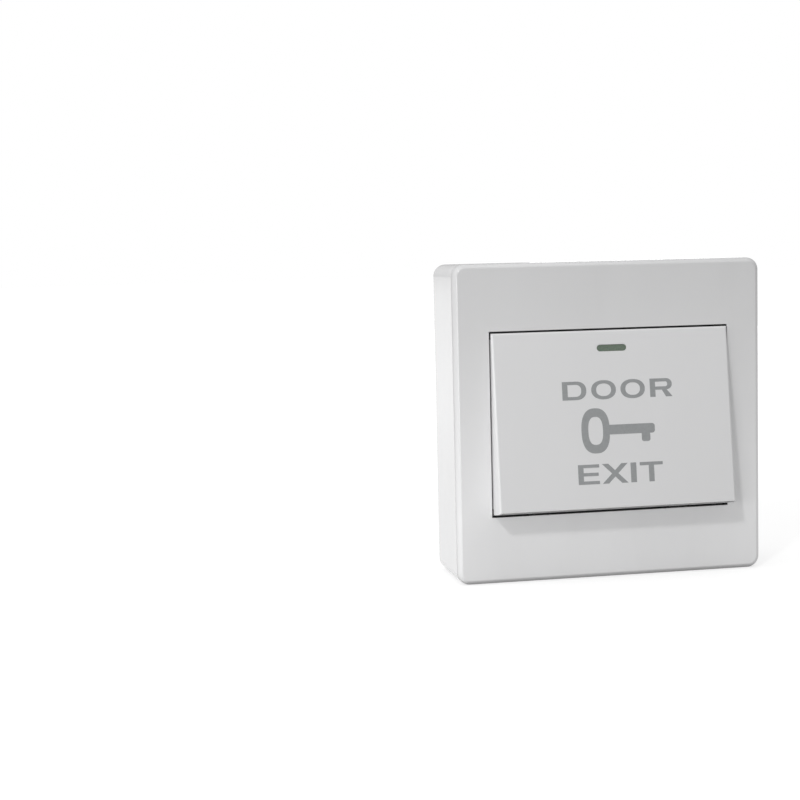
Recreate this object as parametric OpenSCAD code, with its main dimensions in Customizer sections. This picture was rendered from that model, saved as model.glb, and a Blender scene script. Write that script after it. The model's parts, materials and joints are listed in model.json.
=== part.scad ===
// Surface-mounted door exit button: a shallow square back box, a clip-on front frame,
// a wide rocker hinged at its top edge, and a two-terminal push contact behind it.
// Everything is drawn flat on its back: X to the right, Y up the wall, Z out of the wall.
// The last step stands it up against the wall plane, with +Z up.

/* [Plate] */
// Side of the square plate
plate_size = 86; // [84:0.5:90]
// Depth from the wall to the front of the frame
body_depth = 25; // [24.5:0.5:29]
// Corner radius of the plate
corner_r = 3.3; // [2.5:0.1:4.5]

/* [Back box] */
// Side wall thickness of the back box
box_wall = 1.5; // [1.2:0.1:1.8]
// Floor thickness of the back box
box_floor = 2; // [1.6:0.1:2.2]
// Rounding of the back edge
box_edge_r = 0.4; // [0.2:0.1:0.8]
// Width of the corner fixing slots
corner_slot_w = 4.25; // [3.5:0.25:4.75]
// Width of the side fixing slots
side_slot_w = 4; // [3.5:0.25:4.5]
// End-to-end length of a fixing slot
slot_len = 6.1; // [5.5:0.1:7]
// Corner slot centre, in from the side edge
corner_slot_side = 7.5; // [6.5:0.1:9]
// Corner slot centre, in from the top and bottom edge
corner_slot_end = 8.7; // [7.5:0.1:10]
// Side slot centre, in from the side edge
side_slot_inset = 5; // [4.5:0.1:6]
// Width of the four recesses in the back
pocket_w = 4.5; // [3.5:0.5:5]
// Depth of the four recesses
pocket_depth = 2.6; // [1.5:0.1:3]
// Middle of a recess, in from the side edge
pocket_inset = 4.95; // [4.5:0.05:6]
// Plain wall between a recess and the end of the side slot
pocket_near = 2.05; // [1.5:0.05:4]
// Distance between a recess and the middle of the corner slot
pocket_far = 10.7; // [8:0.1:13]
// Wall left over a recess, inside the box
pocket_wall = 1.2; // [0.8:0.1:1.6]
// Width of the snap windows
window_w = 6.15; // [5.5:0.05:7]
// Height of the snap windows
window_h = 2.2; // [1.8:0.1:2.6]
// Middle of a snap window, in from the side edge
window_inset = 15; // [13:0.5:18]
// From the middle of a snap window to the large cable knockout
knockout_inset = 8.25; // [6:0.25:11]
// From the large cable knockout to the small one
knockout_step = 7.15; // [5:0.05:9]
// Long slot of the knockout, in from the top edge
knockout_drop = 7.3; // [6.5:0.1:8.5]
// Width of the tear-out slots
score_w = 1.1; // [0.8:0.1:1.4]
// How far the tear-out panel stops behind the frame's rim
knockout_stop = 4.6; // [3.5:0.1:8]

/* [Front frame] */
// Height of the frame's visible edge
frame_lip = 2.4; // [2:0.1:3.2]
// Rounding of the frame's front edge
frame_edge_r = 1.5; // [1:0.1:1.8]
// Thickness of the frame's plate
frame_t = 1.6; // [1.4:0.1:2]
// Width of the frame left and right of the rocker
border_side = 9.5; // [8.5:0.5:11]
// Width of the frame above and below the rocker
border_end = 18; // [17:0.5:20]
// Thickness of the wall round the opening
flange_t = 1.4; // [1.2:0.1:1.8]
// How far that wall is set back above and below the rocker
flange_step = 1.6; // [1.2:0.1:2]
// Clearance between that wall and the carrier plate
flange_gap = 1.4; // [0.6:0.1:2]
// Thickness of the locating rim inside the box
rim_t = 1.3; // [1:0.1:1.6]
// Depth of the locating rim
rim_h = 3; // [2:0.5:4]
// Clearance between the rim and the box wall
rim_gap = 0.15; // [0.1:0.05:0.25]
// Thickness of the snap legs
leg_t = 1.1; // [0.9:0.05:1.3]

/* [Rocker] */
// Gap between rocker and opening at the sides
rocker_gap = 0.4; // [0.3:0.05:0.6]
// Gap between rocker and opening at the top
top_gap = 0.5; // [0.3:0.05:0.7]
// Gap between the rocker's swinging lower end and the opening
end_gap = 0.45; // [0.3:0.05:0.6]
// Slope of the rocker's face at rest, in degrees
rocker_tilt = 7.3; // [6:0.1:8]
// How far the rocker's top edge stands out of the frame
rocker_proud = 0.85; // [0.5:0.05:1.2]
// Thickness of the rocker's face
face_t = 1.6; // [1.4:0.1:2]
// Thickness of the rocker's skirt
skirt_t = 1.4; // [1.2:0.1:1.8]
// Rounding of the rocker's edges
rocker_edge_r = 0.6; // [0.3:0.1:0.8]
// Hinge axis below the top of the opening
hinge_inset = 3.5; // [3.3:0.1:4]
// Hinge axis behind the front of the frame
hinge_depth = 5; // [4.6:0.1:5.4]
// Radius of the hinge pins
pin_r = 1.5; // [1.2:0.1:1.8]
// Running clearance round pins and plunger, on the radius
running_gap = 0.05; // [0.03:0.01:0.08]
// Travel of the rocker, in degrees
press_angle = 5; // [4:0.1:5.2]

/* [Indicator] */
// Length of the luminous strip
indicator_len = 8.2; // [6:0.1:12]
// Width of the luminous strip
indicator_w = 1.7; // [1.4:0.1:2.4]
// Distance from the rocker's top edge to the middle of the strip
indicator_drop = 4.8; // [4.4:0.1:8]

/* [Carrier] */
// Thickness of the carrier plate
carrier_t = 1.6; // [1.4:0.1:1.8]
// Height of the stiffening lip round the carrier plate
carrier_lip = 1.2; // [0.8:0.1:1.6]
// Radius of the frame's screw bosses
boss_r = 3; // [2.5:0.1:3.4]
// Clearance between the bosses and the wall round the opening
boss_gap = 0.4; // [0.2:0.1:1]
// Radius of the small self-tapping screws
screw_r = 1.1; // [1:0.05:1.2]

/* [Contact] */
// Middle of the plunger, below the middle of the plate
plunger_drop = 4; // [2:0.5:6]
// Radius of the plunger's stem
stem_r = 2; // [1.8:0.1:2.2]
// Thickness of the brass strips
strip_t = 0.8; // [0.6:0.05:0.9]
// Width of the brass strips
strip_w = 6; // [5:0.5:7]
// Distance from the plunger to a contact
contact_x = 9.5; // [8.5:0.5:10]
// Width of the contact block
block_w = 34; // [33:0.5:36]
// Height of the contact block
block_h = 18; // [16:0.5:19]
// Wall thickness of the contact block
block_wall = 1.4; // [1.2:0.1:1.6]
// Length of the ledge that carries a terminal screw
ledge_w = 9.6; // [9:0.1:10.4]
// Thickness of that ledge
ledge_t = 4.2; // [3.8:0.1:4.4]

/* [Springs] */
// Mean radius of a rocker spring's coil
return_coil_r = 2.9; // [2.6:0.1:3.2]
// Wire diameter of a rocker spring
return_wire = 0.5; // [0.4:0.05:0.6]
// Turns of a rocker spring
return_turns = 7; // [5:1:9]
// Rocker spring, from the middle, across
return_x = 18; // [15:0.5:21]
// Rocker spring, above the lower edge of the opening
return_rise = 12; // [10:0.5:16]
// Radius of the contact spring's coil
contact_coil_r = 2.45; // [2.3:0.05:2.6]
// Wire diameter of the contact spring
contact_wire = 0.26; // [0.2:0.02:0.3]
// Turns of the contact spring
contact_turns = 4; // [3:1:5]
// Wire diameter of the plunger's conical spring
plunger_wire = 0.4; // [0.3:0.05:0.45]
// Turns of the plunger's conical spring
plunger_turns = 4; // [3:1:5]

/* [Hidden] */
$fn = 64;
eps = 0.01;
over = 1;
rad = PI / 180;

// Outline
half = plate_size / 2;
inner = half - box_wall;
opening_w = plate_size - 2 * border_side;
opening_h = plate_size - 2 * border_end;
part_z = body_depth - frame_lip;
plate_z = body_depth - frame_t;
hinge_z = body_depth - hinge_depth;
hinge_y = opening_h / 2 - hinge_inset;
seat_gap = 0.1;

// Rocker outline
rocker_w = opening_w - 2 * rocker_gap;
rocker_top = opening_h / 2 - top_gap;
rocker_top_z = body_depth + rocker_proud;
rocker_reach = hinge_y + opening_h / 2 - end_gap;
swing = rocker_reach * sin(press_angle);
trunnion_r = pin_r + 1.4;
trunnion_w = 2;
rib_t = 1;
rib_h = 2.2;
lens_t = 0.8;
lens_edge = 1.2;
lens_room = 3;
tab_x = 20;
tab_w = 6;
tab_h = 1.8;
tab_z = plate_z - 0.3 - tab_h;
tab_out = rocker_reach + flange_step - 0.3;
function face_z(y, depth) = rocker_top_z + (rocker_top - y) * tan(rocker_tilt) - depth / cos(rocker_tilt);

// Contact stack from the floor to the hinge: what its pieces need at least
plunger_y = -plunger_drop;
arm = hinge_y - plunger_y;
travel = arm * press_angle * rad;
foot_gap = 0.3;
block_floor = 1;
rest_h = 0.2;
contact_h = 0.4;
contact_r = 1.6;
closing_gap = 0.05;
bridge_t = 0.6;
bridge_w = 5;
bridge_tip = 0.8;
bridge_boss_r = contact_coil_r + 1.15;
rivet_r = 0.75;
spring_end = 0.03;
spring_room = (contact_turns + 1.2) * contact_wire;
ring_t = 0.6;
ring_r = 3.1;
cap_room = 0.5;
cap_t = 1;
cap_r = 4.4;
tip_gap = 0.3;
post_r = 1.7;
stack = foot_gap + block_floor + rest_h + strip_t + 2 * contact_h + travel + closing_gap
    + bridge_t + spring_room + ring_t + seat_gap + carrier_t + cap_room + travel + cap_t
    + tip_gap;

// Depth that is left goes to the springs, this much of it above the carrier
cap_share = 0.3;
cap_gap = cap_room + cap_share * (hinge_z - box_floor - stack);

// Levels
block_z = box_floor + foot_gap;
block_in = block_z + block_floor;
strip_z = block_in + rest_h;
bridge_z = strip_z + strip_t + 2 * contact_h + travel + closing_gap;
cap_z = hinge_z - tip_gap - cap_t;
carrier_top = cap_z - travel - cap_gap;
carrier_z = carrier_top - carrier_t;
ring_z = carrier_z - seat_gap - ring_t;
guide_r = 3;
guide_top = cap_z - travel - 0.25;
groove_r = stem_r - 0.5;
neck_r = stem_r - 0.5;
tail_r = neck_r + 0.5;
tail_h = 1.2;
flange_z = carrier_top + flange_gap;
skirt_z = carrier_top + 0.4 + swing;

// Snap catches
catch_z = box_floor + 3.6;
catch_h = 1.6;
catch_out = 0.7;
leg_w = window_w - 0.8;
leg_gap = 0.15;
leg_face = inner - catch_out - leg_gap;
hook_out = leg_face + 0.65;
leg_z = box_floor + 1.2;

// Places on the back
corner_slot_x = half - corner_slot_side;
corner_slot_y = half - corner_slot_end;
side_slot_x = half - side_slot_inset;
pocket_x = half - pocket_inset;
pocket_low = slot_len / 2 + pocket_near;
pocket_h = corner_slot_y - pocket_far - pocket_low;
pocket_y = pocket_low + pocket_h / 2;
window_x = half - window_inset;
knockout_w = 2 * (window_x - knockout_inset);
knockout_small_w = knockout_w - 2 * knockout_step;
knockout_y = half - knockout_drop;
knockout_depth = part_z - rim_h - knockout_stop;
gate_x = 6.75;
gate_y = -18.1;
gate_r = 0.6;

// Small screws
head_r = 2.4;
head_h = 1.5;
screw_len = 6;
block_screw_len = 5;
drive_w = 0.7;
block_tab_r = 3.4;
block_tab_t = 2.2;
block_tab_y = block_h / 2 + screw_r + 1.5;
block_boss_r = screw_r + 1.5;

// Carrier
head_gap = 0.9;
boss_y = opening_h / 2 + flange_step + flange_t + boss_gap + boss_r;
carrier_w = opening_w + 2 * flange_t + 2 * seat_gap;
carrier_h = 2 * (boss_y + head_r + head_gap + carrier_lip);
boss_x = carrier_w / 2 - carrier_lip - head_gap - head_r;
return_y = return_rise - opening_h / 2;
return_top = face_z(return_y, face_t) - 1.4;
spring_seat_h = 1.6;

// Terminals and their screws
ledge_z = carrier_z - ledge_t;
terminal_screw_x = block_w / 2 + ledge_w / 2;
ledge_side = 2;
ledge_h = strip_w + 2 * ledge_side;
terminal_len = block_w / 2 + ledge_w - 0.4;
strip_bend_x = block_w / 2 - block_wall - 1.4;
plate_side = strip_w + 0.6;
plate_t = 0.8;
terminal_r = 1.45;
terminal_gap = 0.15;
terminal_bite = 3.2;
terminal_head_r = 2.7;
terminal_head_h = 1.8;

// Colours
white = [0.93, 0.93, 0.92];
grey = [0.62, 0.63, 0.65];
green = [0.45, 0.55, 0.46];
brass = [0.80, 0.66, 0.36];
silver = [0.82, 0.82, 0.80];
steel = [0.66, 0.67, 0.70];

// Stands the part up: out of the wall becomes -Y, and up the wall becomes +Z
module stand() {
    rotate([90, 0, 0]) children();
}

module mirrored_x() {
    children();
    mirror([1, 0, 0]) children();
}

module mirrored_y() {
    children();
    mirror([0, 1, 0]) children();
}

// Rectangle with round corners
module rounded_rect(w, h, r) {
    square([w - 2 * r, h], center = true);
    square([w, h - 2 * r], center = true);
    for (x = [-1, 1], y = [-1, 1])
        translate([x * (w / 2 - r), y * (h / 2 - r)]) circle(r);
}

// Slot with round ends, along Y
module slot2d(w, len) {
    square([w, len - w], center = true);
    for (y = [-1, 1]) translate([0, y * (len - w) / 2]) circle(w / 2);
}

// Section through a plate with rounded top edges
module edge2d(w, t, r) {
    translate([-w / 2, 0]) square([w, t - r]);
    translate([-w / 2 + r, 0]) square([w - 2 * r, t]);
    intersection() {
        for (x = [-1, 1]) translate([x * (w / 2 - r), t - r]) circle(r);
        translate([-w / 2, 0]) square([w, t]);
    }
}

// One quarter of a rounded corner, revolved
module corner_piece(r, t, edge) {
    rotate_extrude(angle = 90) {
        square([r, t - edge]);
        square([r - edge, t]);
        intersection() {
            translate([r - edge, t - edge]) circle(edge);
            square([r, t]);
        }
    }
}

// Square plate with round corners and a rounded top edge
module soft_slab(size, r, t, edge) {
    straight = size - 2 * r;
    for (a = [0, 90])
        rotate(a) translate([0, straight / 2, 0]) rotate([90, 0, 0])
            linear_extrude(straight) edge2d(size, t, edge);
    for (a = [0:90:270])
        rotate(a) translate([straight / 2, straight / 2, 0]) corner_piece(r, t, edge);
}

// Closed coil: a round wire swept along a helix whose end turns lie flat.
// Its radius goes from r at the bottom to top_r at the top.
module coil(r, wire, turns, len, top_r) {
    sides = 6;
    per_turn = 14;
    n = turns * per_turn;
    flat = wire * 1.03;
    rise = (len - wire - 2 * flat) / (turns - 2);
    function radius(u) = r + (top_r - r) * u / turns;
    function height(u) = wire / 2 + (
        u < 1 ? flat * u :
        u > turns - 1 ? len - wire - flat * (turns - u) :
        flat + rise * (u - 1));
    points = [
        for (i = [0:n]) let (u = i / per_turn)
            for (j = [0:sides - 1]) let (a = 360 * j / sides)
                [(radius(u) + wire / 2 * cos(a)) * cos(360 * u),
                 (radius(u) + wire / 2 * cos(a)) * sin(360 * u),
                 height(u) + wire / 2 * sin(a)]
    ];
    skin = [
        for (i = [0:n - 1], j = [0:sides - 1]) let (k = (j + 1) % sides)
            [i * sides + j, (i + 1) * sides + j, (i + 1) * sides + k, i * sides + k]
    ];
    start = [for (j = [0:sides - 1]) j];
    finish = [for (j = [sides - 1:-1:0]) n * sides + j];
    polyhedron(points, concat([start], skin, [finish]), convexity = 8);
}

// Pan-head screw whose head lies under the level z, with its shank pointing up
module pan_screw(x, y, z, r, len, cap_r, cap_h) {
    translate([x, y, z]) difference() {
        union() {
            cylinder(r = r, h = len);
            translate([0, 0, -cap_h / 2]) cylinder(r = cap_r, h = cap_h / 2);
            translate([0, 0, -cap_h])
                cylinder(r1 = cap_r - cap_h / 3, r2 = cap_r, h = cap_h / 2);
        }
        for (a = [0, 90])
            rotate(a) translate([-cap_r * 0.6, -drive_w / 2, -cap_h - eps])
                cube([cap_r * 1.2, drive_w, cap_h / 2]);
    }
}

module at_screws() {
    for (x = [-boss_x, boss_x], y = [-boss_y, boss_y]) translate([x, y]) children();
}

// Back box

module box_pads() {
    pad_w = inner - pocket_x + pocket_w / 2 + pocket_wall;
    pad_h = pocket_h + 2 * pocket_wall;
    mirrored_x() mirrored_y()
        translate([inner - pad_w, pocket_y - pad_h / 2, eps])
            cube([pad_w + box_wall / 2, pad_h, pocket_depth + pocket_wall]);
}

module box_catches() {
    mirrored_x() mirrored_y()
        translate([window_x - window_w / 2, inner, catch_z]) rotate([90, 0, 90])
            linear_extrude(window_w)
                polygon([[box_wall / 2, 0], [-catch_out, 0], [-catch_out, 0.5],
                         [0, catch_h], [box_wall / 2, catch_h]]);
}

module box_slots() {
    for (x = [-1, 1], y = [-1, 1])
        translate([x * corner_slot_x, y * corner_slot_y, -over]) rotate(x * y * -45)
            linear_extrude(box_floor + 2 * over) slot2d(corner_slot_w, slot_len);
    for (x = [-1, 1])
        translate([x * side_slot_x, 0, -over])
            linear_extrude(box_floor + 2 * over) slot2d(side_slot_w, slot_len);
    mirrored_x() mirrored_y() {
        translate([pocket_x - pocket_w / 2, pocket_y - pocket_h / 2, -over])
            cube([pocket_w, pocket_h, pocket_depth + over]);
        translate([window_x - window_w / 2, inner - window_h, -over])
            cube([window_w, window_h, box_floor + 2 * over]);
    }
}

// Slots through the floor and thin lines inside the top wall, so a panel tears out
module box_knockout() {
    line_depth = box_wall * 0.55;
    bridge = 1.5;
    deep = box_floor + 2 * over;
    outer_from = knockout_y + 1.9;
    inner_to = knockout_y + 3.3;
    translate([0, knockout_y, -over]) linear_extrude(deep)
        rotate(90) slot2d(score_w, knockout_w + score_w);
    mirrored_x() {
        translate([knockout_w / 2 - score_w / 2, outer_from, -over])
            cube([score_w, inner - outer_from, deep]);
        translate([knockout_small_w / 2 - score_w / 2, knockout_y, -over])
            cube([score_w, inner_to - knockout_y, deep]);
        translate([knockout_small_w / 2 - score_w / 2, inner_to + bridge, -over])
            cube([score_w, inner - inner_to - bridge, deep]);
        translate([knockout_small_w / 2, half, 0]) rotate(45)
            cube([score_w * 0.8, score_w * 0.8, 2 * over], center = true);
        for (x = [knockout_small_w / 2, knockout_w / 2])
            translate([x - score_w / 2, inner - eps, box_floor + eps])
                cube([score_w, line_depth, knockout_depth - box_floor]);
    }
    translate([-knockout_w / 2, inner - eps, knockout_depth - score_w])
        cube([knockout_w, line_depth, score_w]);
}

module back_box() {
    color(white) difference() {
        union() {
            difference() {
                translate([0, 0, part_z]) mirror([0, 0, 1])
                    soft_slab(plate_size, corner_r, part_z, box_edge_r);
                translate([0, 0, box_floor]) linear_extrude(part_z)
                    rounded_rect(2 * inner, 2 * inner, corner_r - box_wall);
            }
            box_pads();
            box_catches();
        }
        box_slots();
        box_knockout();
        // Gate mark of the moulding
        translate([gate_x, gate_y, -over]) cylinder(r = gate_r, h = over + 0.25);
    }
}

// Front frame

// Wall behind the opening: flush with its sides, set back above and below
module frame_flange() {
    inside = opening_h + 2 * flange_step;
    translate([0, 0, flange_z]) linear_extrude(plate_z - flange_z + eps) difference() {
        square([opening_w + 2 * flange_t, inside + 2 * flange_t], center = true);
        square([opening_w, inside], center = true);
    }
}

// Plate with a full-height rim, hollow behind
module frame_plate() {
    hollow = 2 * (leg_face - leg_t) - 1;
    difference() {
        translate([0, 0, part_z]) soft_slab(plate_size, corner_r, frame_lip, frame_edge_r);
        translate([0, 0, part_z - over]) linear_extrude(plate_z - part_z + over)
            rounded_rect(hollow, hollow, corner_r);
    }
}

module frame_rim() {
    rim = 2 * (inner - rim_gap);
    translate([0, 0, part_z - rim_h]) linear_extrude(rim_h + eps) difference() {
        rounded_rect(rim, rim, corner_r - box_wall);
        rounded_rect(rim - 2 * rim_t, rim - 2 * rim_t, 0.5);
    }
}

module frame_legs() {
    hook_z = catch_z - seat_gap;
    mirrored_x() mirrored_y() difference() {
        translate([window_x - leg_w / 2, 0, 0]) rotate([90, 0, 90]) linear_extrude(leg_w)
            polygon([[leg_face - leg_t, part_z + eps], [leg_face - leg_t, leg_z],
                     [leg_face, leg_z], [hook_out, leg_z + 1.2], [hook_out, hook_z],
                     [leg_face, hook_z], [leg_face, part_z + eps]]);
        translate([window_x - 0.8, leg_face - 0.1, leg_z - over])
            cube([1.6, over, catch_z - leg_z + over]);
    }
}

module frame_bosses() {
    difference() {
        translate([0, 0, carrier_top]) linear_extrude(plate_z - carrier_top + eps)
            at_screws() circle(boss_r);
        translate([0, 0, carrier_top - over]) linear_extrude(screw_len + over)
            at_screws() circle(screw_r + running_gap);
    }
    // Webs that tie each boss to the plate
    web_h = 5;
    web_len = 2 * (boss_r + boss_gap + flange_t / 2);
    translate([0, 0, plate_z - web_h]) linear_extrude(web_h + eps) difference() {
        at_screws() {
            square([web_len, rib_t], center = true);
            square([rib_t, web_len], center = true);
        }
        at_screws() circle(boss_r - rib_t / 2);
    }
}

module front_frame() {
    color(white) difference() {
        union() {
            frame_plate();
            frame_flange();
            frame_rim();
            frame_legs();
            frame_bosses();
        }
        translate([0, 0, part_z - over]) linear_extrude(frame_lip + 2 * over)
            square([opening_w, opening_h], center = true);
        // Bearings for the hinge pins
        translate([-opening_w / 2 - 2 * flange_t, hinge_y, hinge_z]) rotate([0, 90, 0])
            cylinder(r = pin_r + running_gap, h = opening_w + 4 * flange_t);
    }
}

// Rocker

// Side outline: sloping face, rounded ends, and a lower end that is an arc about the hinge
module rocker_side(wall, edge) {
    top = rocker_top - wall;
    reach = rocker_reach - wall;
    depth = wall > 0 ? face_t : 0;
    low = skirt_z - (wall > 0 ? over : 0);
    normal = [sin(rocker_tilt), cos(rocker_tilt)];
    hinge = [hinge_y, hinge_z];
    crown = [top, face_z(top, depth)];
    top_c = [top - edge, face_z(top - edge, depth) - edge / cos(rocker_tilt)];
    lift = normal * (crown - hinge) - edge;
    turn = rocker_tilt + asin(lift / (reach - edge));
    spoke = [-cos(turn), sin(turn)];
    end_c = hinge + (reach - edge) * spoke;
    end_t = hinge + reach * spoke;
    intersection() {
        polygon([
            [top, wall > 0 ? low : hinge_z + 0.2], [top, top_c[1]], top_c + edge * normal,
            end_c + edge * normal, end_t, [end_t[0] - 2 * over, end_t[1]],
            [end_t[0] - 2 * over, low], [top - 1.4, low]
        ]);
        translate(hinge) circle(reach, $fn = 256);
    }
    if (edge > 0) for (c = [top_c, end_c]) translate(c) circle(edge);
}

module rocker_shell() {
    long = opening_h + 20;
    deep = 30;
    difference() {
        intersection() {
            translate([-rocker_w / 2, 0, 0]) rotate([90, 0, 90])
                linear_extrude(rocker_w) rocker_side(0, rocker_edge_r);
            translate([0, rocker_top, rocker_top_z]) rotate([-rocker_tilt, 0, 0])
                translate([0, long / 4, -deep]) rotate([90, 0, 0])
                    linear_extrude(long * 1.25) edge2d(rocker_w, deep, rocker_edge_r);
        }
        translate([-rocker_w / 2 + skirt_t, 0, 0]) rotate([90, 0, 90])
            linear_extrude(rocker_w - 2 * skirt_t) rocker_side(skirt_t, 0);
    }
}

// Solid between the inside of the face and a level below it
module under_face(level) {
    intersection() {
        translate([0, 0, level]) linear_extrude(30) children();
        translate([-rocker_w / 2, 0, 0]) rotate([90, 0, 90]) linear_extrude(rocker_w)
            polygon([[rocker_top, level - over], [rocker_top, face_z(rocker_top, face_t / 2)],
                     [-rocker_reach, face_z(-rocker_reach, face_t / 2)],
                     [-rocker_reach, level - over]]);
    }
}

module rocker_post() {
    under_face(hinge_z) translate([0, plunger_y]) circle(post_r);
    web = 8 * post_r;
    under_face(hinge_z + 2 * post_r) translate([0, plunger_y]) {
        square([web, rib_t], center = true);
        square([rib_t, web], center = true);
    }
}

module rocker_spring_seats() {
    for (x = [-return_x, return_x]) {
        under_face(return_top) translate([x, return_y]) circle(return_coil_r + 1.3);
        under_face(return_top - 1.5 * spring_seat_h) translate([x, return_y])
            circle(return_coil_r - return_wire / 2 - 0.35);
    }
}

module rocker_pins() {
    pin_out = opening_w / 2 + flange_t - 0.2;
    mirrored_x() translate([0, hinge_y, hinge_z]) rotate([0, 90, 0]) {
        translate([0, 0, rocker_w / 2 - skirt_t - trunnion_w])
            cylinder(r = trunnion_r, h = skirt_t + trunnion_w);
        cylinder(r = pin_r, h = pin_out);
    }
}

module rocker_tabs() {
    mirrored_x() translate([tab_x - tab_w / 2, hinge_y - tab_out, tab_z])
        cube([tab_w, tab_out - rocker_reach + skirt_t, tab_h]);
}

module rocker_ribs() {
    margin = 4;
    low = hinge_y - rocker_reach + margin;
    high = hinge_y - margin;
    for (x = [-return_x / 2, 0, return_x / 2])
        intersection() {
            translate([x - rib_t / 2, low, 0]) cube([rib_t, high - low, 2 * body_depth]);
            translate([-rocker_w / 2, 0, 0]) rotate([90, 0, 90]) linear_extrude(rocker_w)
                polygon([[rocker_top, face_z(rocker_top, face_t + rib_h)],
                         [rocker_top, face_z(rocker_top, face_t / 2)],
                         [-rocker_reach, face_z(-rocker_reach, face_t / 2)],
                         [-rocker_reach, face_z(-rocker_reach, face_t + rib_h)]]);
        }
}

// Places children on the rocker's face, at a distance down from its top edge
module on_face(down) {
    translate([0, rocker_top, rocker_top_z]) rotate([-rocker_tilt, 0, 0])
        translate([0, -down, 0]) children();
}

module rocker() {
    color(white) difference() {
        union() {
            rocker_shell();
            rocker_post();
            rocker_spring_seats();
            difference() {
                rocker_pins();
                between = rocker_w - 2 * (skirt_t + trunnion_w);
                translate([-between / 2, hinge_y - 2 * pin_r, hinge_z - 2 * pin_r])
                    cube([between, 4 * pin_r, 4 * pin_r]);
            }
            rocker_tabs();
            difference() {
                rocker_ribs();
                on_face(indicator_drop) translate([0, 0, -face_t - lens_room])
                    linear_extrude(lens_room + eps)
                        square([indicator_len + 3 * lens_edge, indicator_w + 3 * lens_edge],
                               center = true);
            }
        }
        on_face(indicator_drop) translate([0, 0, -face_t - over])
            linear_extrude(face_t + 2 * over)
                rotate(90) slot2d(indicator_w + seat_gap, indicator_len + seat_gap);
    }
}

// Luminous strip, let into the rocker's face from behind with a glued flange
module indicator_strip() {
    recess = 0.15;
    color(green) on_face(indicator_drop) {
        translate([0, 0, -face_t - eps]) linear_extrude(face_t - recess + eps)
            rotate(90) slot2d(indicator_w, indicator_len);
        translate([0, 0, -face_t - lens_t]) linear_extrude(lens_t)
            square([indicator_len + 2 * lens_edge, indicator_w + 2 * lens_edge], center = true);
    }
}

// Carrier plate behind the rocker

module carrier_plate() {
    translate([0, 0, carrier_z]) linear_extrude(carrier_t)
        rounded_rect(carrier_w, carrier_h, corner_r);
    // Stiffening lip along the edges, behind the plate
    translate([0, 0, carrier_z - carrier_lip]) linear_extrude(carrier_lip + eps) difference() {
        rounded_rect(carrier_w, carrier_h, corner_r);
        rounded_rect(carrier_w - 2 * carrier_lip, carrier_h - 2 * carrier_lip,
                     corner_r - carrier_lip);
    }
}

module carrier() {
    color(white) difference() {
        union() {
            carrier_plate();
            translate([0, plunger_y, carrier_z]) cylinder(r = guide_r, h = guide_top - carrier_z);
            for (x = [-return_x, return_x]) translate([x, return_y, carrier_top - eps]) {
                cylinder(r = return_coil_r - return_wire / 2 - 0.35, h = spring_seat_h * 1.5);
                difference() {
                    cylinder(r = return_coil_r + return_wire / 2 + 1.2, h = spring_seat_h);
                    translate([0, 0, eps])
                        cylinder(r = return_coil_r + return_wire / 2 + 0.3,
                                 h = spring_seat_h + over);
                }
            }
            for (y = [-1, 1]) translate([0, plunger_y + y * block_tab_y, carrier_top - eps])
                cylinder(r = block_boss_r, h = block_screw_len - carrier_t);
        }
        translate([0, 0, carrier_z - over]) linear_extrude(carrier_t + 2 * over)
            at_screws() circle(screw_r + 0.4);
        translate([0, plunger_y, carrier_z - over])
            cylinder(r = stem_r + running_gap, h = guide_top - carrier_z + 2 * over);
        for (y = [-1, 1]) translate([0, plunger_y + y * block_tab_y, carrier_z - over])
            cylinder(r = screw_r + running_gap, h = over + block_screw_len - block_tab_t + 0.3);
    }
}

module carrier_screws() {
    color(steel) at_screws()
        pan_screw(0, 0, carrier_z, screw_r, screw_len + carrier_t - 0.4, head_r, head_h);
}

// Contact block

module block_body() {
    translate([0, plunger_y, block_z]) linear_extrude(carrier_z - block_z)
        rounded_rect(block_w, block_h, 1.2);
    mirrored_x() translate([0, plunger_y - ledge_h / 2, ledge_z])
        cube([block_w / 2 + ledge_w, ledge_h, carrier_z - ledge_z]);
    for (y = [-1, 1]) {
        translate([0, plunger_y + y * block_tab_y, carrier_z - block_tab_t])
            cylinder(r = block_tab_r, h = block_tab_t);
        translate([-block_tab_r, plunger_y + y * block_tab_y - y * 2 - 1.5,
                   carrier_z - block_tab_t])
            cube([2 * block_tab_r, 3, block_tab_t]);
    }
}

// Space inside the block, with the two slots that its strips leave by
module block_hollow() {
    pocket_w = block_w - 2 * block_wall;
    pocket_h = block_h - 2 * block_wall;
    slot_h = strip_w + 0.2;
    translate([0, plunger_y, block_in]) linear_extrude(carrier_z)
        rounded_rect(pocket_w, pocket_h, 0.6);
    mirrored_x() {
        translate([pocket_w / 2 - over, plunger_y - slot_h / 2, ledge_z - strip_t - 0.1])
            cube([block_wall + 2 * over, slot_h, strip_t + 0.1]);
        translate([terminal_screw_x, plunger_y, ledge_z - over])
            cylinder(r = terminal_r + running_gap, h = terminal_bite + 0.4 + over);
    }
    for (y = [-1, 1]) translate([0, plunger_y + y * block_tab_y, carrier_z - block_tab_t - over])
        cylinder(r = screw_r + 0.3, h = block_tab_t + 2 * over);
}

// Ledges inside the block that the contact strips rest on
module block_rests() {
    rest_x = contact_x - strip_w / 2;
    mirrored_x() translate([rest_x, plunger_y - strip_w / 2 - 1, block_in - eps])
        cube([strip_bend_x + strip_t - rest_x, strip_w + 2, strip_z - block_in + eps]);
}

module contact_block() {
    color(grey) {
        difference() {
            block_body();
            block_hollow();
        }
        block_rests();
    }
}

module block_screws() {
    color(steel) for (y = [-1, 1])
        pan_screw(0, plunger_y + y * block_tab_y, carrier_z - block_tab_t,
                  screw_r, block_screw_len, head_r, head_h);
}

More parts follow.
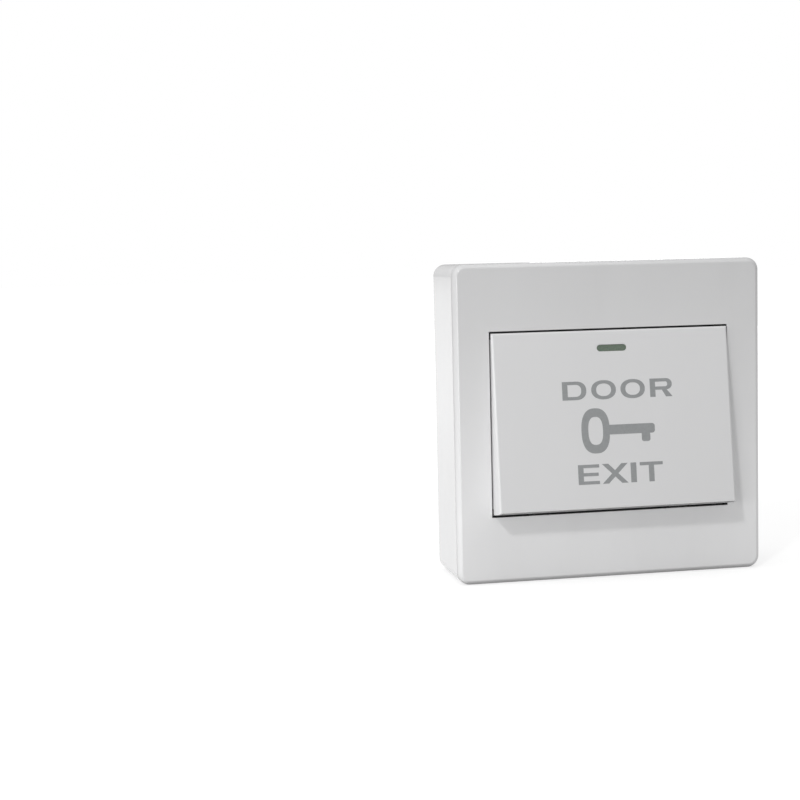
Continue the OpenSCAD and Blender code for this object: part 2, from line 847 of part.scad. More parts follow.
// Bent brass strip: contact end inside the block, screw end on its ledge
module terminal() {
    inner_x = contact_x - contact_r - bridge_tip;
    difference() {
        translate([0, plunger_y + strip_w / 2, 0]) rotate([90, 0, 0]) linear_extrude(strip_w)
            polygon([
                [inner_x, strip_z], [strip_bend_x + strip_t, strip_z],
                [strip_bend_x + strip_t, ledge_z - strip_t], [terminal_len, ledge_z - strip_t],
                [terminal_len, ledge_z], [strip_bend_x, ledge_z],
                [strip_bend_x, strip_z + strip_t], [inner_x, strip_z + strip_t]
            ]);
        translate([terminal_screw_x, plunger_y, ledge_z - strip_t - over])
            cylinder(r = terminal_r + terminal_gap, h = strip_t + 2 * over);
        translate([contact_x, plunger_y, strip_z - over])
            cylinder(r = rivet_r + running_gap, h = strip_t + 2 * over);
    }
}

module right_terminal() {
    color(brass) terminal();
}

module left_terminal() {
    color(brass) mirror([1, 0, 0]) terminal();
}

// Rivet with a low domed head; up is the way its head points
module contact_rivet(up, strip) {
    mirror([0, 0, up > 0 ? 0 : 1]) {
        cylinder(r1 = contact_r, r2 = contact_r - 0.25, h = contact_h);
        translate([0, 0, -strip]) cylinder(r = rivet_r, h = strip + eps);
    }
}

module fixed_contacts() {
    color(silver) for (x = [-contact_x, contact_x])
        translate([x, plunger_y, strip_z + strip_t]) contact_rivet(1, strip_t);
}

module bridge_contacts() {
    color(silver) for (x = [-contact_x, contact_x])
        translate([x, plunger_y, bridge_z]) contact_rivet(-1, bridge_t);
}

module contact_bridge() {
    reach = contact_x + contact_r + bridge_tip;
    color(brass) translate([0, plunger_y, bridge_z]) difference() {
        linear_extrude(bridge_t) {
            square([2 * (reach - bridge_w / 2), bridge_w], center = true);
            for (x = [-1, 1]) translate([x * (reach - bridge_w / 2), 0]) circle(bridge_w / 2);
            circle(bridge_boss_r);
        }
        translate([0, 0, -over]) linear_extrude(bridge_t + 2 * over) {
            circle(neck_r + running_gap);
            for (x = [-contact_x, contact_x]) translate([x, 0]) circle(rivet_r + running_gap);
        }
    }
}

module clamp_plates() {
    color(steel) for (x = [-terminal_screw_x, terminal_screw_x])
        translate([x, plunger_y, ledge_z - strip_t - plate_t]) difference() {
            linear_extrude(plate_t) rounded_rect(plate_side, plate_side, 0.6);
            translate([0, 0, -over])
                cylinder(r = terminal_r + terminal_gap, h = plate_t + 2 * over);
        }
}

module terminal_screws() {
    color(steel) for (x = [-terminal_screw_x, terminal_screw_x])
        pan_screw(x, plunger_y, ledge_z - strip_t - plate_t, terminal_r,
                  strip_t + plate_t + terminal_bite, terminal_head_r, terminal_head_h);
}

// Plunger and what it carries

module plunger() {
    color(white) translate([0, plunger_y, 0]) difference() {
        union() {
            translate([0, 0, cap_z]) cylinder(r = cap_r, h = cap_t - 0.3);
            translate([0, 0, cap_z + cap_t - 0.3]) cylinder(r1 = cap_r, r2 = cap_r - 0.3, h = 0.3);
            translate([0, 0, ring_z - 0.6]) cylinder(r = stem_r, h = cap_z - ring_z + 0.6 + eps);
            translate([0, 0, bridge_z - tail_h]) cylinder(r = neck_r, h = ring_z - bridge_z + tail_h);
            translate([0, 0, bridge_z - tail_h - seat_gap / 2])
                cylinder(r1 = neck_r, r2 = tail_r, h = tail_h);
        }
        // Groove of the retaining ring
        translate([0, 0, ring_z]) difference() {
            cylinder(r = stem_r + over, h = ring_t);
            cylinder(r = groove_r, h = ring_t);
        }
    }
}

// Snap ring in the stem's groove: upper stop of the plunger
module retaining_ring() {
    mouth = 2.2;
    color(steel) translate([0, plunger_y, ring_z + 0.02]) linear_extrude(ring_t - 0.04)
        difference() {
            circle(ring_r);
            circle(groove_r + 0.02);
            translate([-mouth / 2, -ring_r - over]) square([mouth, ring_r + over]);
        }
}

module contact_spring() {
    low = bridge_z + bridge_t + spring_end;
    len = ring_z - low - spring_end;
    color(steel) translate([0, plunger_y, low])
        coil(contact_coil_r, contact_wire, contact_turns, len, contact_coil_r);
}

// Conical, so that its turns can close into each other
module plunger_spring() {
    top_r = guide_r + 0.65;
    low_r = top_r + plunger_turns * plunger_wire * 1.1;
    color(steel) translate([0, plunger_y, carrier_top + spring_end])
        coil(low_r, plunger_wire, plunger_turns, cap_z - carrier_top - seat_gap, top_r);
}

module return_spring(x) {
    color(steel) translate([x, return_y, carrier_top + spring_end])
        coil(return_coil_r, return_wire, return_turns, return_top - carrier_top - seat_gap,
             return_coil_r);
}

module return_spring_left() {
    return_spring(-return_x);
}

module return_spring_right() {
    return_spring(return_x);
}

stand() back_box();
stand() front_frame();
stand() rocker();
stand() indicator_strip();
stand() carrier();
stand() carrier_screws();
stand() contact_block();
stand() block_screws();
stand() plunger();
stand() retaining_ring();
stand() contact_spring();
stand() contact_bridge();
stand() bridge_contacts();
stand() plunger_spring();
stand() left_terminal();
stand() right_terminal();
stand() fixed_contacts();
stand() terminal_screws();
stand() clamp_plates();
stand() return_spring_left();
stand() return_spring_right();
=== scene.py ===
"""Looks of the door exit button: camera, studio, materials and the printed legend."""

import json
import math

import bmesh
import bpy
from mathutils import Matrix, Vector


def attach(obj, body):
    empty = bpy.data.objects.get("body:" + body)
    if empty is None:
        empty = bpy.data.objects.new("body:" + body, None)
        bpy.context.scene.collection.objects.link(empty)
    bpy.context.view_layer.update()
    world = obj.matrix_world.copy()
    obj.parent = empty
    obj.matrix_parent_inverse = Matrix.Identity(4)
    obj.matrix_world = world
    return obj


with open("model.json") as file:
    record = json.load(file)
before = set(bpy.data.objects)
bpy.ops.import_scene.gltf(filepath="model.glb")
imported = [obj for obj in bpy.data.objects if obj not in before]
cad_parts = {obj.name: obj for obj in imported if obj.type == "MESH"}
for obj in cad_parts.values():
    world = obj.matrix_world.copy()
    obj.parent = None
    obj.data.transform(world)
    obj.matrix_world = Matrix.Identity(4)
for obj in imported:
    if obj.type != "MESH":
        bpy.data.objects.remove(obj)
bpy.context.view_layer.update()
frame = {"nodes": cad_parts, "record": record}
nodes = frame["nodes"]
MM = 0.001

# The rocker's face: top edge and slope, as in the CAD model.
FACE_TOP_Z = 24.5
FACE_TOP_OUT = 25.85
FACE_SLOPE = math.radians(7.3)

# Camera: place in mm and angles in degrees, fitted to the photograph's front view.
CAMERA_PLACE = (-134.5, -429.1, 45.5)
CAMERA_YAW = 10.725
CAMERA_PITCH = 5.231
CAMERA_ROLL = -1.384
CAMERA_LENS = 70.47

# The part stands on its lower edge.
FLOOR_Z = -43.05
WHITE = (1.0, 1.0, 1.0, 1.0)


# Nodes


class Shader:
    """A node material under construction, with short calls for what is used often."""

    def __init__(self, name):
        self.material = bpy.data.materials.new(name)
        self.material.use_nodes = True
        self.tree = self.material.node_tree
        self.tree.nodes.clear()
        self.output = self.node("ShaderNodeOutputMaterial")
        self.place = self.node("ShaderNodeTexCoord").outputs["Object"]

    def node(self, kind, **settings):
        made = self.tree.nodes.new(kind)
        for key, value in settings.items():
            setattr(made, key, value)
        return made

    def link(self, source, target):
        self.tree.links.new(source, target)

    def noise(self, scale, detail=3.0, roughness=0.5, stretch=(1, 1, 1), distortion=0.0):
        mapping = self.node("ShaderNodeMapping")
        mapping.inputs["Scale"].default_value = stretch
        self.link(self.place, mapping.inputs["Vector"])
        made = self.node("ShaderNodeTexNoise")
        made.inputs["Scale"].default_value = scale
        made.inputs["Detail"].default_value = detail
        made.inputs["Roughness"].default_value = roughness
        made.inputs["Distortion"].default_value = distortion
        self.link(mapping.outputs["Vector"], made.inputs["Vector"])
        return made.outputs["Fac"]

    def cells(self, scale):
        made = self.node("ShaderNodeTexVoronoi")
        made.inputs["Scale"].default_value = scale
        self.link(self.place, made.inputs["Vector"])
        return made.outputs["Distance"]

    def spread(self, value, low, high, low_in=0.3, high_in=0.7):
        made = self.node("ShaderNodeMapRange")
        made.inputs["From Min"].default_value = low_in
        made.inputs["From Max"].default_value = high_in
        made.inputs["To Min"].default_value = low
        made.inputs["To Max"].default_value = high
        self.link(value, made.inputs["Value"])
        return made.outputs["Result"]

    def tint(self, value, stops):
        made = self.node("ShaderNodeValToRGB")
        ramp = made.color_ramp
        ramp.elements[0].position, ramp.elements[0].color = stops[0][0], (*stops[0][1], 1)
        ramp.elements[1].position, ramp.elements[1].color = stops[-1][0], (*stops[-1][1], 1)
        for position, color in stops[1:-1]:
            ramp.elements.new(position).color = (*color, 1)
        self.link(value, made.inputs["Fac"])
        return made.outputs["Color"]

    def bump(self, height, strength, distance, normal=None):
        made = self.node("ShaderNodeBump")
        made.inputs["Strength"].default_value = strength
        made.inputs["Distance"].default_value = distance
        self.link(height, made.inputs["Height"])
        if normal is not None:
            self.link(normal, made.inputs["Normal"])
        return made.outputs["Normal"]

    def soft_edges(self, radius):
        made = self.node("ShaderNodeBevel", samples=4)
        made.inputs["Radius"].default_value = radius
        return made.outputs["Normal"]

    def feed(self, value, socket):
        """Links a socket, or sets a constant."""
        if isinstance(value, (int, float)):
            socket.default_value = value
        else:
            self.link(value, socket)

    def calc(self, operation, *values):
        made = self.node("ShaderNodeMath", operation=operation)
        for value, socket in zip(values, made.inputs):
            self.feed(value, socket)
        return made.outputs[0]

    def split(self, vector):
        made = self.node("ShaderNodeSeparateXYZ")
        self.link(vector, made.inputs[0])
        return made.outputs

    def join(self, x, y, z):
        made = self.node("ShaderNodeCombineXYZ")
        for value, socket in zip((x, y, z), made.inputs):
            self.feed(value, socket)
        return made.outputs[0]

    def unit(self, vector):
        made = self.node("ShaderNodeVectorMath", operation="NORMALIZE")
        self.link(vector, made.inputs[0])
        return made.outputs[0]

    def blend(self, share, first, second, kind="VECTOR"):
        made = self.node("ShaderNodeMix", data_type=kind)
        sockets = [made.inputs[i] for i in ((0, 6, 7) if kind == "RGBA" else (0, 4, 5))]
        self.link(share, sockets[0])
        for value, socket in zip((first, second), sockets[1:]):
            if isinstance(value, tuple):
                socket.default_value = value
            else:
                self.link(value, socket)
        return made.outputs[2 if kind == "RGBA" else 1]

    def multiply(self, first, second):
        made = self.node("ShaderNodeMix", data_type="RGBA", blend_type="MULTIPLY")
        made.inputs[0].default_value = 1.0
        self.link(first, made.inputs[6])
        self.link(second, made.inputs[7])
        return made.outputs[2]

    def surface(self, color, roughness, normal, **constants):
        made = self.node("ShaderNodeBsdfPrincipled")
        self.link(color, made.inputs["Base Color"])
        self.link(roughness, made.inputs["Roughness"])
        self.link(normal, made.inputs["Normal"])
        for key, value in constants.items():
            made.inputs[key.replace("_", " ")].default_value = value
        self.link(made.outputs["BSDF"], self.output.inputs["Surface"])
        return self.material


def shade(color, factor):
    return tuple(min(1.0, c * factor) for c in color)


def gloss_plastic(name, color):
    """Polished moulding: faint flow marks in the tone, a hand-wiped gloss and a slight waviness."""
    s = Shader(name)
    flow = s.noise(55, 4, 0.55, (1.0, 1.0, 0.35), 0.6)
    tone = s.tint(flow, [(0.25, shade(color, 0.975)), (0.55, color), (0.8, shade(color, 1.015))])
    wipe = s.noise(140, 5, 0.6, (0.4, 1.0, 1.0))
    normal = s.soft_edges(0.18 * MM)
    normal = s.bump(s.noise(160, 2, 0.4), 0.06, 0.10 * MM, normal)
    normal = s.bump(s.noise(2600, 2, 0.5), 0.05, 0.012 * MM, normal)
    return s.surface(tone, s.spread(wipe, 0.13, 0.20), normal, IOR=1.52)


def frame_plastic_painted_light(name, color):
    """The box's plastic on the frame, with painted light and shade: lighter low down, dark along the foot
    and on the opening's walls; its rim is shaded as a drafted band that turns tightly into the face.
    """
    s = Shader(name)
    flow = s.noise(55, 4, 0.55, (1.0, 1.0, 0.35), 0.6)
    tone = s.tint(flow, [(0.25, shade(color, 0.975)), (0.55, color), (0.8, shade(color, 1.015))])
    x, y, z = s.split(s.place)
    side, height = s.calc("ABSOLUTE", x), s.calc("ABSOLUTE", z)
    # Painted light and shade: lighter low down and dark along the foot, after the tones of the photograph
    painted_light_and_shade = s.tint(s.spread(z, 0.0, 1.0, -0.043, 0.043), [
        (0.0, (0.45,) * 3), (0.008, (0.72,) * 3), (0.016, (0.96,) * 3), (0.20, (1.0,) * 3),
        (0.50, (0.89,) * 3), (0.80, (0.805,) * 3), (1.0, (0.79,) * 3)])
    tone = s.multiply(tone, painted_light_and_shade)
    # Painted shade on the walls of the opening, behind the face, as if unlit
    near = s.calc("MULTIPLY", s.calc("LESS_THAN", side, 0.0353), s.calc("LESS_THAN", height, 0.0286))
    near = s.calc("MULTIPLY", near, s.calc("GREATER_THAN", height, 0.0240))
    painted_shade_mask = s.calc("MULTIPLY", near, s.spread(y, 0.0, 1.0, -0.02495, -0.0245))
    tone = s.blend(painted_shade_mask, tone, (*shade(color, 0.12), 1.0), "RGBA")
    # Drafted band round the rim
    base = s.soft_edges(0.18 * MM)
    nx, ny, nz = s.split(base)
    front = s.spread(s.calc("MULTIPLY", ny, -1.0), 0.80, 1.0, 0.90, 0.99)
    out = s.calc("SQRT", s.calc("SUBTRACT", 1.0, s.calc("MULTIPLY", front, front)))
    ux, uy, uz = s.split(s.unit(s.join(nx, 0.0, nz)))
    band = s.join(s.calc("MULTIPLY", ux, out), s.calc("MULTIPLY", front, -1.0), s.calc("MULTIPLY", uz, out))
    rim = s.spread(s.calc("MAXIMUM", side, height), 0.0, 1.0, 0.0404, 0.0411)
    rim = s.calc("MULTIPLY", rim, s.calc("LESS_THAN", y, -0.0226))
    normal = s.blend(rim, base, band)
    normal = s.bump(s.noise(160, 2, 0.4), 0.06, 0.10 * MM, normal)
    normal = s.bump(s.noise(2600, 2, 0.5), 0.05, 0.012 * MM, normal)
    wipe = s.noise(140, 5, 0.6, (0.4, 1.0, 1.0))
    return s.surface(tone, s.spread(wipe, 0.13, 0.20), normal, IOR=1.60)


def satin_plastic(name, color):
    """Fine spark-eroded texture, as on a rocker's face, with a painted highlight along its lower edge and
    painted shade on its end walls.
    """
    s = Shader(name)
    flow = s.noise(45, 4, 0.5, (1.0, 1.0, 0.5))
    tone = s.tint(flow, [(0.25, shade(color, 0.985)), (0.55, color), (0.8, shade(color, 1.01))])
    x, y, z = s.split(s.place)
    # How far a point lies behind the sloping face, in metres
    slope = math.tan(FACE_SLOPE)
    behind = s.calc("ADD", y, s.calc("ADD", (FACE_TOP_OUT + FACE_TOP_Z * slope) * MM,
                                     s.calc("MULTIPLY", z, -slope)))
    # Painted highlight: a thin band behind the face's edge, along the lower edge only, is lightened to near
    # white
    rim = s.spread(behind, 0.0, 1.0, 0.003 * MM, 0.03 * MM)
    rim = s.calc("MULTIPLY", rim, s.spread(behind, 1.0, 0.0, 0.60 * MM, 0.75 * MM))
    low = s.calc("MULTIPLY", s.calc("LESS_THAN", z, -0.0205),
                 s.calc("LESS_THAN", s.calc("ABSOLUTE", x), 0.0325))
    tone = s.blend(s.calc("MULTIPLY", rim, low), tone, (0.96, 0.96, 0.96, 1.0), "RGBA")
    # Painted shade on the end walls within the frame, as if unlit
    ends = s.calc("GREATER_THAN", s.calc("ABSOLUTE", s.calc("SUBTRACT", z, 0.0001)), 0.0228)
    painted_shade_mask = s.calc("MULTIPLY", ends, s.spread(y, 0.0, 1.0, -0.0252, -0.0248))
    tone = s.blend(painted_shade_mask, tone, (*shade(color, 0.10), 1.0), "RGBA")
    # The small round at the lower edge is shaded as a fine lip that faces upwards
    normal = s.blend(s.calc("MULTIPLY", rim, low), s.soft_edges(0.18 * MM), (-0.10, -0.86, 0.50))
    normal = s.bump(s.noise(3800, 3, 0.6), 0.22, 0.02 * MM, normal)
    normal = s.bump(s.noise(180, 2, 0.4), 0.05, 0.08 * MM, normal)
    return s.surface(tone, s.spread(s.noise(700, 3), 0.30, 0.38), normal, IOR=1.50)


def luminous_plastic(name, color):
    """Dull strip with pigment grains that differ a little from each other."""
    s = Shader(name)
    grains = s.noise(2400, 4, 0.65)
    tone = s.tint(grains, [(0.3, shade(color, 0.82)), (0.5, color), (0.72, shade(color, 1.22))])
    normal = s.bump(s.noise(3000, 3, 0.6), 0.2, 0.02 * MM)
    return s.surface(tone, s.spread(grains, 0.30, 0.42), normal, IOR=1.50,
                     Subsurface_Weight=0.15, Subsurface_Scale=0.0008)


def matte_plastic(name, color, roughness):
    """Filled plastic with a dull, faintly mottled skin."""
    s = Shader(name)
    mottle = s.noise(420, 5, 0.65)
    tone = s.tint(mottle, [(0.28, shade(color, 0.93)), (0.5, color), (0.75, shade(color, 1.05))])
    normal = s.soft_edges(0.12 * MM)
    normal = s.bump(s.noise(3200, 4, 0.6), 0.25, 0.025 * MM, normal)
    return s.surface(tone, s.spread(mottle, roughness - 0.06, roughness + 0.06), normal, IOR=1.48)


def zinc(name, color):
    """Bright zinc plating: small crystals, faint turning marks and a cloudy sheen."""
    s = Shader(name)
    crystals = s.cells(2200)
    tone = s.tint(crystals, [(0.1, shade(color, 0.86)), (0.45, color), (0.8, shade(color, 1.1))])
    lines = s.noise(2600, 3, 0.5, (1.0, 0.12, 1.0))
    normal = s.soft_edges(0.10 * MM)
    normal = s.bump(lines, 0.25, 0.02 * MM, normal)
    return s.surface(tone, s.spread(s.noise(500, 4), 0.24, 0.38), normal, Metallic=1.0)


def spring_wire(name, color):
    """Drawn wire with die lines and darker oil-hardened patches."""
    s = Shader(name)
    patches = s.noise(620, 5, 0.6)
    tone = s.tint(patches, [(0.3, shade(color, 0.78)), (0.55, color), (0.8, shade(color, 1.12))])
    normal = s.bump(s.noise(4200, 3, 0.5, (0.3, 1.0, 0.3)), 0.3, 0.015 * MM)
    return s.surface(tone, s.spread(patches, 0.25, 0.42), normal, Metallic=1.0)


def brass(name, color):
    """Stamped strip: rolling lines along it, and a little tarnish."""
    s = Shader(name)
    tarnish = s.noise(260, 5, 0.65, distortion=0.4)
    tone = s.tint(tarnish, [(0.3, shade(color, 0.74)), (0.5, color), (0.78, shade(color, 1.08))])
    rolled = s.noise(3000, 3, 0.5, (0.08, 1.0, 1.0))
    normal = s.soft_edges(0.10 * MM)
    normal = s.bump(rolled, 0.25, 0.02 * MM, normal)
    return s.surface(tone, s.spread(tarnish, 0.38, 0.22), normal, Metallic=1.0)


def silver(name, color):
    """Pressed contact metal with a soft satin of fine pits."""
    s = Shader(name)
    pits = s.cells(5200)
    tone = s.tint(s.noise(900, 4), [(0.3, shade(color, 0.85)), (0.55, color), (0.8, (0.9, 0.9, 0.88))])
    normal = s.bump(pits, 0.2, 0.015 * MM)
    return s.surface(tone, s.spread(pits, 0.18, 0.34, 0.0, 0.6), normal, Metallic=1.0)


def print_ink(name, color):
    """Screen-printed ink: a woven trace of the mesh in its film, a little uneven in tone."""
    s = Shader(name)
    film = s.noise(1500, 4, 0.6)
    tone = s.tint(film, [(0.3, shade(color, 0.93)), (0.5, color), (0.75, shade(color, 1.06))])
    normal = s.bump(s.noise(5200, 2, 0.5), 0.25, 0.01 * MM)
    return s.surface(tone, s.spread(film, 0.36, 0.48), normal, IOR=1.48)


INK = print_ink("ink", (0.335, 0.345, 0.35))
MATERIALS = {
    "white_plastic": gloss_plastic("white_plastic", (0.80, 0.80, 0.805)),
    # The frame is the box's plastic; its lighter colour is painted light, darkened again towards the top by
    # painted shade in its material
    "frame_plastic_painted_light": frame_plastic_painted_light("frame_plastic_painted_light", (0.925, 0.925, 0.93)),
    "rocker_plastic": satin_plastic("rocker_plastic", (0.80, 0.80, 0.805)),
    "luminous_plastic": luminous_plastic("luminous_plastic", (0.152, 0.195, 0.15)),
    "grey_plastic": matte_plastic("grey_plastic", (0.30, 0.31, 0.32), 0.5),
    "plunger_plastic": matte_plastic("plunger_plastic", (0.74, 0.73, 0.69), 0.38),
    "zinc_steel": zinc("zinc_steel", (0.62, 0.63, 0.66)),
    "spring_steel": spring_wire("spring_steel", (0.52, 0.52, 0.54)),
    "brass": brass("brass", (0.74, 0.55, 0.24)),
    "contact_silver": silver("contact_silver", (0.78, 0.77, 0.74)),
}
for part in frame["record"]["subparts"]:
    mesh = nodes[part["node"]].data
    mesh.materials.clear()
    slot = "frame_plastic_painted_light" if part["node"] == "front_frame" else part["material_slot"]
    mesh.materials.append(MATERIALS[slot])


# Legend


INK_FILM = 0.025
INK_SINK = 0.01
STEM = 1.5
ARM = 0.87


def arc(x, y, rx, ry, start, end, count=14, power=2.0):
    """Points along a superellipse, with angles in degrees; y grows downwards."""
    points = []
    for i in range(count + 1):
        a = math.radians(start + (end - start) * i / count)
        c, s = math.cos(a), math.sin(a)
        points.append((
            x + rx * math.copysign(abs(c) ** (2 / power), c),
            y + ry * math.copysign(abs(s) ** (2 / power), s),
        ))
    return points


def letter_d(x0, x1, y0, y1):
    mid, half = (y0 + y1) / 2, (y1 - y0) / 2
    flat = x1 - 2.9
    outer = [(x0, y0)] + arc(flat, mid, x1 - flat, half, -90, 90, 18, 2.3) + [(x0, y1)]
    left = x0 + STEM
    hole = [(left, y0 + ARM)] + arc(flat - 0.1, mid, x1 - flat - 1.3, half - ARM, -90, 90, 18, 2.3)
    return [outer, hole + [(left, y1 - ARM)]]


def letter_o(x0, x1, y0, y1):
    x, y, rx, ry = (x0 + x1) / 2, (y0 + y1) / 2, (x1 - x0) / 2, (y1 - y0) / 2
    return [
        arc(x, y, rx, ry, 0, 360, 48, 2.2)[:-1],
        arc(x, y, rx - 1.36, ry - ARM, 0, 360, 40, 2.2)[:-1],
    ]


def letter_r(x0, x1, y0, y1):
    waist = y0 + (y1 - y0) * 0.62
    mid, half = (y0 + waist) / 2, (waist - y0) / 2
    flat = x1 - 1.9
    outer = [(x0, y0)] + arc(flat, mid, x1 - flat - 0.05, half, -90, 62, 14, 2.2)
    outer += [(x1 - 1.55, waist - 0.02), (x1, y1), (x1 - 1.85, y1), (flat - 1.05, waist)]
    outer += [(x0 + STEM, waist), (x0 + STEM, y1), (x0, y1)]
    left = x0 + STEM
    hole = [(left, y0 + ARM)] + arc(flat, mid, x1 - flat - 1.35, half - ARM, -90, 90, 10, 2.2)
    return [outer, hole + [(left, waist - ARM)]]


def letter_e(x0, x1, y0, y1):
    mid, left = (y0 + y1) / 2, x0 + STEM
    return [[
        (x0, y0), (x1, y0), (x1, y0 + ARM), (left, y0 + ARM), (left, mid - ARM / 2),
        (x1 - 0.25, mid - ARM / 2), (x1 - 0.25, mid + ARM / 2), (left, mid + ARM / 2),
        (left, y1 - ARM), (x1, y1 - ARM), (x1, y1), (x0, y1),
    ]]


def letter_x(x0, x1, y0, y1):
    x, y = (x0 + x1) / 2, (y0 + y1) / 2
    w = 1.75
    run = (x1 - x0 - w) / (y1 - y0)
    notch_x, notch_y = w / 2, w / 2 / run
    return [[
        (x0, y0), (x0 + w, y0), (x, y - notch_y), (x1 - w, y0), (x1, y0), (x + notch_x, y),
        (x1, y1), (x1 - w, y1), (x, y + notch_y), (x0 + w, y1), (x0, y1), (x - notch_x, y),
    ]]


def letter_i(x0, x1, y0, y1):
    return [[(x0, y0), (x1, y0), (x1, y1), (x0, y1)]]


def letter_t(x0, x1, y0, y1):
    x = (x0 + x1) / 2
    return [[
        (x0, y0), (x1, y0), (x1, y0 + ARM), (x + STEM / 2, y0 + ARM), (x + STEM / 2, y1),
        (x - STEM / 2, y1), (x - STEM / 2, y0 + ARM), (x0, y0 + ARM),
    ]]


def key_sign():
    """A plain key lying on its side: oval bow, straight shaft and one bit."""
    bow_x, bow_y, bow_rx, bow_ry = -5.65, 26.95, 3.95, 6.05
    top, bottom, tip = 25.5, 28.1, 11.0
    bow = arc(bow_x, bow_y, bow_rx, bow_ry, 12, 348, 60, 2.5)
    shaft = arc(tip - 0.8, top + 0.8, 0.8, 0.8, -90, 0, 6) + arc(tip - 0.8, bottom - 0.8, 0.8, 0.8, 0, 90, 6)
    bit = arc(9.0, 29.7, 0.6, 0.6, 0, 90, 5) + arc(7.8, 29.7, 0.6, 0.6, 90, 180, 5)
    start = bow[-1]
    neck = [(start[0], top)] if start[1] < top else []
    outer = bow + neck + shaft + [(9.6, bottom)] + bit + [(7.2, bottom)]
    if bow[0][1] > bottom:
        outer += [(bow[0][0], bottom)]
    hole = arc(bow_x, bow_y, 2.05, 3.75, 0, 360, 44, 2.6)[:-1]
    return [outer, hole]


LEGEND = {
    "legend_door_d": letter_d(-14.4, -7.7, 13.55, 18.5),
    "legend_door_o_first": letter_o(-6.3, 0.6, 13.45, 18.6),
    "legend_door_o_second": letter_o(1.9, 8.75, 13.45, 18.6),
    "legend_door_r": letter_r(10.2, 16.5, 13.55, 18.5),
    "legend_key": key_sign(),
    "legend_exit_e": letter_e(-11.1, -5.2, 35.9, 41.2),
    "legend_exit_x": letter_x(-4.4, 2.8, 35.9, 41.2),
    "legend_exit_i": letter_i(3.6, 5.2, 35.9, 41.2),
    "legend_exit_t": letter_t(6.2, 12.7, 35.9, 41.2),
}


def on_face(x, down, out):
    """A point on the rocker's sloping face, out above it, in metres."""
    c, s = math.cos(FACE_SLOPE), math.sin(FACE_SLOPE)
    return Vector((x, -(FACE_TOP_OUT + down * s + out * c), FACE_TOP_Z - down * c + out * s)) * MM


def ink_film(name, outlines):
    """One sign as a thin film: filled outlines, raised."""
    bm = bmesh.new()
    for outline in outlines:
        loop = [bm.verts.new((x, down, 0)) for x, down in outline]
        for a, b in zip(loop, loop[1:] + loop[:1]):
            bm.edges.new((a, b))
    bmesh.ops.triangle_fill(bm, use_beauty=True, edges=bm.edges[:])
    raised = bmesh.ops.extrude_face_region(bm, geom=bm.faces[:])
    for vert in raised["geom"]:
        if isinstance(vert, bmesh.types.BMVert):
            vert.co.z = 1
    for vert in bm.verts:
        vert.co = on_face(vert.co.x, vert.co.y, INK_FILM if vert.co.z > 0.5 else -INK_SINK)
    bmesh.ops.recalc_face_normals(bm, faces=bm.faces[:])
    mesh = bpy.data.meshes.new(name)
    bm.to_mesh(mesh)
    bm.free()
    mesh.materials.append(INK)
    film = bpy.data.objects.new(name, mesh)
    bpy.context.scene.collection.objects.link(film)
    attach(film, "rocker")
    return film


for name, outlines in LEGEND.items():
    ink_film(name, outlines)


# Studio


def floor_material():
    """Pale floor that reads as white to the camera and still takes the part's shadow."""
    s = Shader("floor")
    tone = s.tint(s.noise(9, 3), [(0.3, (0.41, 0.41, 0.41)), (0.7, (0.44, 0.44, 0.44))])
    diffuse = s.node("ShaderNodeBsdfDiffuse")
    s.link(tone, diffuse.inputs["Color"])
    path = s.node("ShaderNodeLightPath")
    seen = s.node("ShaderNodeMath", operation="MAXIMUM")
    s.link(path.outputs["Is Camera Ray"], seen.inputs[0])
    s.link(path.outputs["Is Glossy Ray"], seen.inputs[1])
    seen_too = s.node("ShaderNodeMath", operation="MAXIMUM")
    s.link(seen.outputs[0], seen_too.inputs[0])
    s.link(path.outputs["Is Transmission Ray"], seen_too.inputs[1])
    # Whiter far away, where the lamps no longer reach it
    x, y, z = s.split(s.place)
    away = s.calc("SQRT", s.calc("ADD", s.calc("MULTIPLY", x, x), s.calc("MULTIPLY", y, y)))
    level = s.calc("MULTIPLY", s.spread(away, 0.66, 0.84, 0.10, 0.50), seen_too.outputs[0])
    glow = s.node("ShaderNodeEmission")
    glow.inputs["Color"].default_value = WHITE
    s.link(level, glow.inputs["Strength"])
    both = s.node("ShaderNodeAddShader")
    s.link(diffuse.outputs[0], both.inputs[0])
    s.link(glow.outputs[0], both.inputs[1])
    s.link(both.outputs[0], s.output.inputs["Surface"])
    return s.material


def make_floor():
    half = 6.0
    mesh = bpy.data.meshes.new("floor")
    z = FLOOR_Z * MM
    mesh.from_pydata([(-half, -half, z), (half, -half, z), (half, half, z), (-half, half, z)],
                     [], [(0, 1, 2, 3)])
    mesh.materials.append(floor_material())
    floor = bpy.data.objects.new("floor", mesh)
    bpy.context.scene.collection.objects.link(floor)


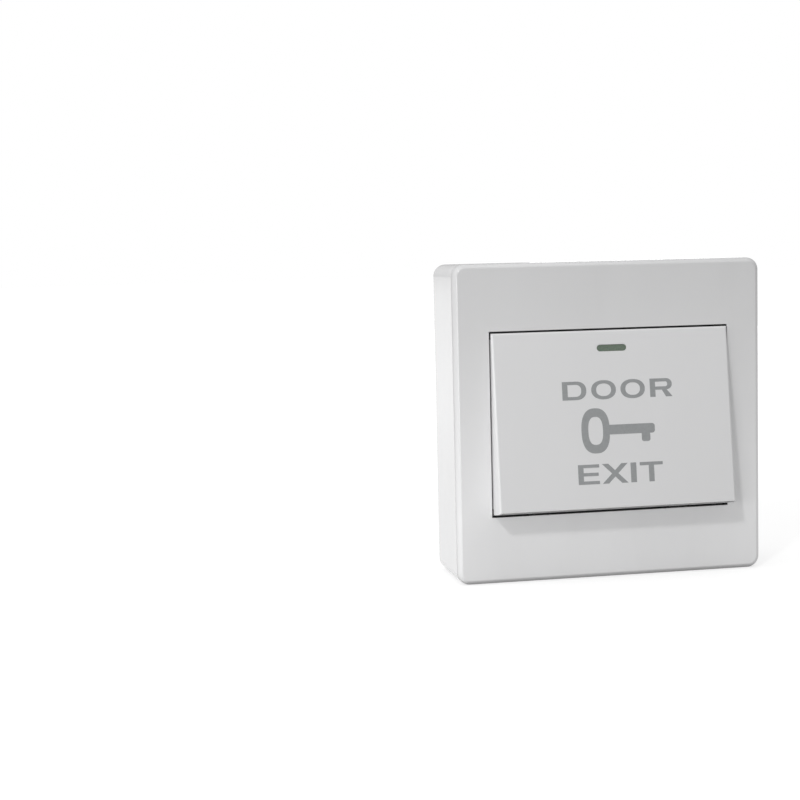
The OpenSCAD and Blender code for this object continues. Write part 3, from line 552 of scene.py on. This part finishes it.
def make_world():
    """Even grey room light, with a white room for the camera and for reflections."""
    world = bpy.data.worlds.new("studio")
    bpy.context.scene.world = world
    world.use_nodes = True
    tree = world.node_tree
    tree.nodes.clear()
    output = tree.nodes.new("ShaderNodeOutputWorld")
    path = tree.nodes.new("ShaderNodeLightPath")
    first = tree.nodes.new("ShaderNodeMath")
    first.operation = "MAXIMUM"
    tree.links.new(path.outputs["Is Camera Ray"], first.inputs[0])
    tree.links.new(path.outputs["Is Glossy Ray"], first.inputs[1])
    second = tree.nodes.new("ShaderNodeMath")
    second.operation = "MAXIMUM"
    tree.links.new(first.outputs[0], second.inputs[0])
    tree.links.new(path.outputs["Is Transmission Ray"], second.inputs[1])
    room = tree.nodes.new("ShaderNodeBackground")
    room.inputs["Color"].default_value = WHITE
    room.inputs["Strength"].default_value = 0.51
    white = tree.nodes.new("ShaderNodeBackground")
    white.inputs["Color"].default_value = WHITE
    white.inputs["Strength"].default_value = 1.0
    mix = tree.nodes.new("ShaderNodeMixShader")
    tree.links.new(second.outputs[0], mix.inputs["Fac"])
    tree.links.new(room.outputs[0], mix.inputs[1])
    tree.links.new(white.outputs[0], mix.inputs[2])
    gloss = tree.nodes.new("ShaderNodeBackground")
    gloss.inputs["Color"].default_value = WHITE
    gloss.inputs["Strength"].default_value = 0.4
    last = tree.nodes.new("ShaderNodeMixShader")
    tree.links.new(path.outputs["Is Glossy Ray"], last.inputs["Fac"])
    tree.links.new(mix.outputs[0], last.inputs[1])
    tree.links.new(gloss.outputs[0], last.inputs[2])
    tree.links.new(last.outputs[0], output.inputs["Surface"])


def lamp(name, place, target, size, power):
    """A square soft lamp at a place in metres that faces a target."""
    data = bpy.data.lights.new(name, "AREA")
    data.shape = "SQUARE"
    data.size = size
    data.energy = power
    made = bpy.data.objects.new(name, data)
    made.location = place
    made.rotation_euler = (Vector(target) - Vector(place)).to_track_quat("-Z", "Y").to_euler()
    made.visible_camera = False
    bpy.context.scene.collection.objects.link(made)


def make_camera():
    data = bpy.data.cameras.new("camera")
    data.sensor_width = 36
    data.lens = CAMERA_LENS
    data.clip_start = 0.01
    data.clip_end = 50
    camera = bpy.data.objects.new("camera", data)
    turn = (
        Matrix.Rotation(math.radians(CAMERA_ROLL), 3, "Y")
        @ Matrix.Rotation(math.radians(CAMERA_PITCH), 3, "X")
        @ Matrix.Rotation(math.radians(CAMERA_YAW), 3, "Z")
    )
    facing = turn.transposed() @ Matrix.Rotation(math.radians(90), 3, "X")
    camera.matrix_world = Matrix.Translation(Vector(CAMERA_PLACE) * MM) @ facing.to_4x4()
    bpy.context.scene.collection.objects.link(camera)
    bpy.context.scene.camera = camera


make_camera()
make_floor()
make_world()
lamp("key", (-0.66, -0.88, 0.88), (0, 0, 0), 0.12, 4.05)
lamp("left", (-1.30, -0.10, 0.25), (0, 0, 0), 0.9, 6.1)
lamp("low", (-0.26, -0.30, 0.0), (-0.02, -0.02, -0.02), 0.16, 0.27)
lamp("back", (0.75, 1.15, 0.12), (0, 0, 0), 0.9, 3.2)
lamp("top", (0.0, 0.05, 1.30), (0, 0, 0), 0.9, 4.0)

bpy.context.scene.view_settings.view_transform = "Standard"
